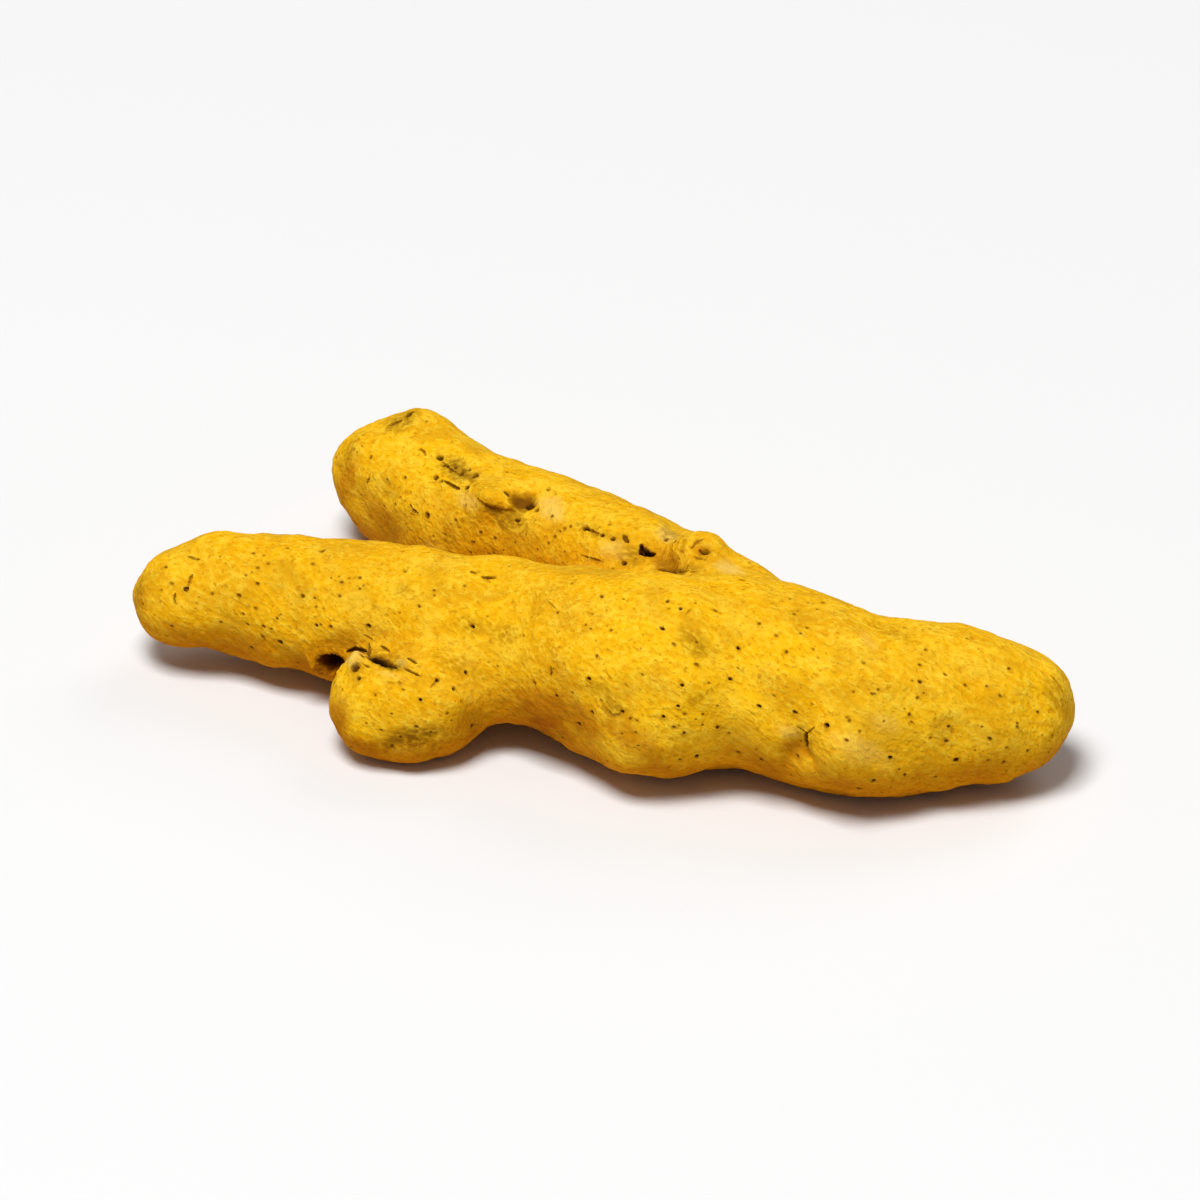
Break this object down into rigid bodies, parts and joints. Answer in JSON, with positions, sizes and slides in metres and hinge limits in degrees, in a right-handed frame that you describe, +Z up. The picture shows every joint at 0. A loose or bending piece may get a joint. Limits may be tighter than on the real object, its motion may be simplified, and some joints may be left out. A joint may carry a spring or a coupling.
{
  "type": "dried turmeric rhizome",
  "caption": "Forked dried turmeric rhizome, lying flat: a thick blunt body, a long main prong, a shorter back prong and a round bud.",
  "frame": {"origin": "middle of the footprint's bounding box, on the surface that the rhizome lies on", "axes": "+X from the main prong's tip to the body's blunt end, +Y towards the back prong, +Z up"},
  "size_m": [0.0682, 0.036, 0.0141],
  "materials": {
    "rhizome_skin": "dusty matte golden yellow skin with small dark pores and grey-brown scars"
  },
  "bodies": {
    "root": {"turmeric_rhizome": "rhizome_skin"}
  },
  "joints": []
}
